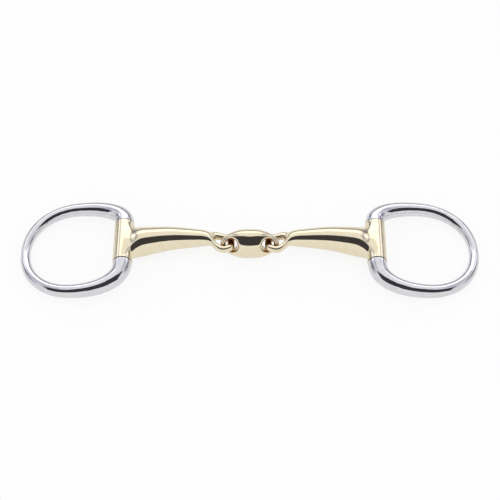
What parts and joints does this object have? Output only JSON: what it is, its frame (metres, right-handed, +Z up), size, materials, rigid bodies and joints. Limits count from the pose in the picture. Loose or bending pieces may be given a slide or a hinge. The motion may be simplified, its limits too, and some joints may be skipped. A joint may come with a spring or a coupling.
{
  "type": "snaffle bit",
  "caption": "Double-jointed eggbutt snaffle bit: tapered golden arms on a centre link, each with a barrel that turns in a polished oval cheek ring.",
  "frame": {"origin": "on the surface the bit lies on, at the middle of its overall box, under the centre link", "axes": "+X along the mouthpiece from the left ring to the right ring, +Y along the barrels, +Z up from the surface"},
  "size_m": [0.2462, 0.0627, 0.016],
  "materials": {
    "golden_alloy": "mirror polished cast copper alloy",
    "polished_steel": "mirror polished stainless steel",
    "pin_steel": "fine turned"
  },
  "bodies": {
    "link": {"centre_link": "golden_alloy"},
    "left_arm_body": {"left_arm": "golden_alloy"},
    "right_arm_body": {"right_arm": "golden_alloy"},
    "left_cheek": {"left_ring": "polished_steel", "left_hinge_pin": "pin_steel"},
    "right_cheek": {"right_ring": "polished_steel", "right_hinge_pin": "pin_steel"}
  },
  "joints": [
    {"name": "left_arm_fold", "type": "hinge", "parent": "link", "child": "left_arm_body", "pos_m": [-0.0099, 0.0024, 0.0078], "axis": [0, 0.866, -0.5], "range_deg": [-40, 40]},
    {"name": "right_arm_fold", "type": "hinge", "parent": "link", "child": "right_arm_body", "pos_m": [0.0099, 0.0024, 0.0078], "axis": [0, -0.866, 0.5], "range_deg": [-40, 40]},
    {"name": "left_ring_swing", "type": "hinge", "parent": "left_arm_body", "child": "left_cheek", "pos_m": [-0.0678, 0.0024, 0.0082], "axis": [0, 1, 0], "range_deg": [-120, 150]},
    {"name": "right_ring_swing", "type": "hinge", "parent": "right_arm_body", "child": "right_cheek", "pos_m": [0.0678, 0.0024, 0.0082], "axis": [0, -1, 0], "range_deg": [-120, 150]}
  ]
}
